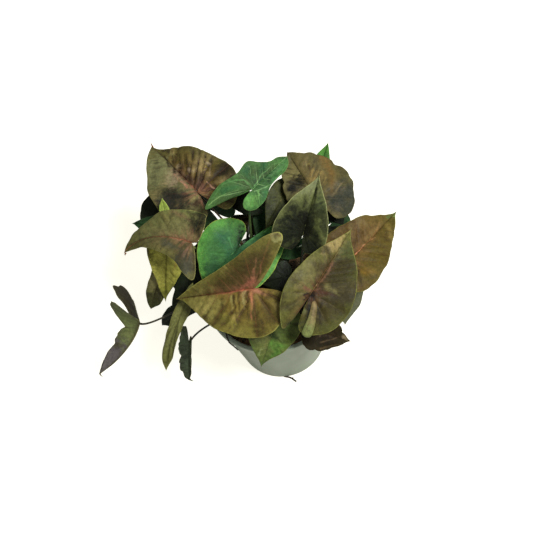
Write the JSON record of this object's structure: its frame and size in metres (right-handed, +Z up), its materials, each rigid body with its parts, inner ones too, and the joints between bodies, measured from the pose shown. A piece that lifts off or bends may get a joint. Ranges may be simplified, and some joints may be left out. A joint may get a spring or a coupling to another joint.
{
  "type": "potted arrowhead plant",
  "caption": "Arrowhead house plant with bronze and green arrow-shaped leaves on thin stalks, growing in a plain white tapered pot.",
  "frame": {"origin": "centre of the pot's underside, on the surface that it stands on", "axes": "+Z up, -Y towards the plant's front, +X to the right of someone who looks at the front"},
  "size_m": [0.3157, 0.2375, 0.2338],
  "materials": {
    "pot_plastic": "satin white",
    "potting_mix": "rough and moist",
    "stem": "satin",
    "leaf_bronze": "satin",
    "leaf_olive": "satin",
    "leaf_brown": "satin",
    "leaf_dark": "satin",
    "leaf_green": "satin",
    "leaf_deep_green": "satin",
    "leaf_pale": "dull"
  },
  "bodies": {
    "root": {"pot": "pot_plastic", "soil": "potting_mix", "stem_left": "stem", "stem_front": "stem", "stem_right": "stem", "stem_back": "stem", "stem_back_left": "stem", "leaf_back_left": "leaf_bronze", "leaf_left": "leaf_bronze", "leaf_front": "leaf_bronze", "leaf_front_right": "leaf_bronze", "leaf_right": "leaf_bronze", "leaf_back_right": "leaf_bronze", "leaf_folded": "leaf_olive", "leaf_top_green": "leaf_green", "leaf_round_green": "leaf_green", "leaf_back_tip": "leaf_green", "leaf_low_front": "leaf_green", "leaf_hanging_olive": "leaf_olive", "leaf_hanging_brown": "leaf_brown", "leaf_hanging_dark": "leaf_dark", "leaf_low_left": "leaf_dark", "leaf_tongue": "leaf_olive", "leaf_trailing_left": "leaf_brown", "leaf_trailing_front": "leaf_dark", "leaf_low_brown": "leaf_brown", "leaf_low_dark": "leaf_dark", "leaf_pale_under": "leaf_pale", "leaf_behind_left": "leaf_dark", "leaf_small_left": "leaf_deep_green", "leaf_young_left": "leaf_pale", "leaf_inner_left": "leaf_dark", "leaf_inner_brown": "leaf_brown", "leaf_inner_olive": "leaf_olive", "leaf_inner_back": "leaf_deep_green", "leaf_under_right": "leaf_dark", "leaf_centre": "leaf_deep_green", "leaf_centre_dark": "leaf_dark", "leaf_centre_green": "leaf_deep_green", "leaf_back_low_left": "leaf_deep_green", "leaf_back_low_right": "leaf_deep_green", "leaf_back_low": "leaf_dark", "leaf_right_back": "leaf_deep_green", "leaf_right_low": "leaf_dark", "leaf_right_under": "leaf_deep_green"}
  },
  "joints": []
}
